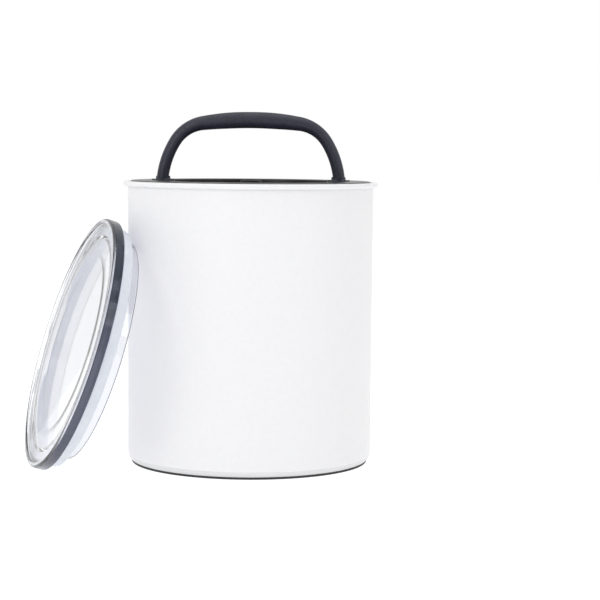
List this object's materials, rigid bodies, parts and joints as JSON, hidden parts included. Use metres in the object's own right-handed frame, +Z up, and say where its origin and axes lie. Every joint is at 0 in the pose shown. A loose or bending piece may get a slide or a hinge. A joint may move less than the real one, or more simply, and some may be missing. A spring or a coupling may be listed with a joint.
{
  "type": "coffee storage canister",
  "caption": "Round metal coffee canister with a push-down plunger, a folding carry handle that works a vent valve, and a clear press-on outer lid leaning on its side.",
  "frame": {"origin": "centre of the underside of the foot ring, on the table", "axes": "+Z up along the canister's axis, +X along the handle to its right foot, -Y towards the front, where the viewer stands"},
  "size_m": [0.2473, 0.2087, 0.2437],
  "materials": {
    "white_coat": "satin white powder coat on steel",
    "bare_steel": "brushed",
    "black_foot": "matt",
    "plunger_plastic": "satin charcoal",
    "handle_plastic": "fine-grained slate",
    "knob_plastic": "satin black",
    "white_plastic": "satin natural",
    "grey_silicone": "matt",
    "smoke_clear": "smoke-tinted clear plastic",
    "frosted_silicone": "translucent frosted"
  },
  "bodies": {
    "canister": {"canister_shell": "white_coat", "base_pan": "bare_steel", "foot_ring": "black_foot"},
    "plunger": {"plunger_plate": "plunger_plastic", "wiper_seal": "grey_silicone", "under_cover": "plunger_plastic", "cover_screws": "bare_steel", "pivot_pin_left": "bare_steel", "pivot_pin_right": "bare_steel", "return_spring": "bare_steel"},
    "handle": {"handle_bail": "handle_plastic"},
    "valve": {"valve_knob": "knob_plastic", "valve_stem": "bare_steel", "lifter_bar": "white_plastic", "valve_disc": "grey_silicone", "stem_clip": "bare_steel"},
    "outer_lid": {"lid_shell": "smoke_clear", "lid_seal": "frosted_silicone"}
  },
  "joints": [
    {"name": "plunger_slide", "type": "slide", "parent": "canister", "child": "plunger", "axis": [0, 0, 1], "range_m": [-0.15, 0.06]},
    {"name": "handle_fold", "type": "hinge", "parent": "plunger", "child": "handle", "pos_m": [0, 0, 0.194], "axis": [-1, 0, 0], "range_deg": [0, 90]},
    {"name": "valve_lift", "type": "slide", "parent": "plunger", "child": "valve", "axis": [0, 0, 1], "range_m": [0, 0.0012], "deforming": ["return_spring"]},
    {"name": "lid_tip", "type": "hinge", "parent": "canister", "child": "outer_lid", "pos_m": [-0.14501, -0.04131, 0.00405], "axis": [0.274, -0.9617, 0], "range_deg": [0, 107.5]}
  ],
  "couplings": [
    {"joint": "valve_lift", "follows": "handle_fold", "m_per_rad": 0.00076}
  ]
}
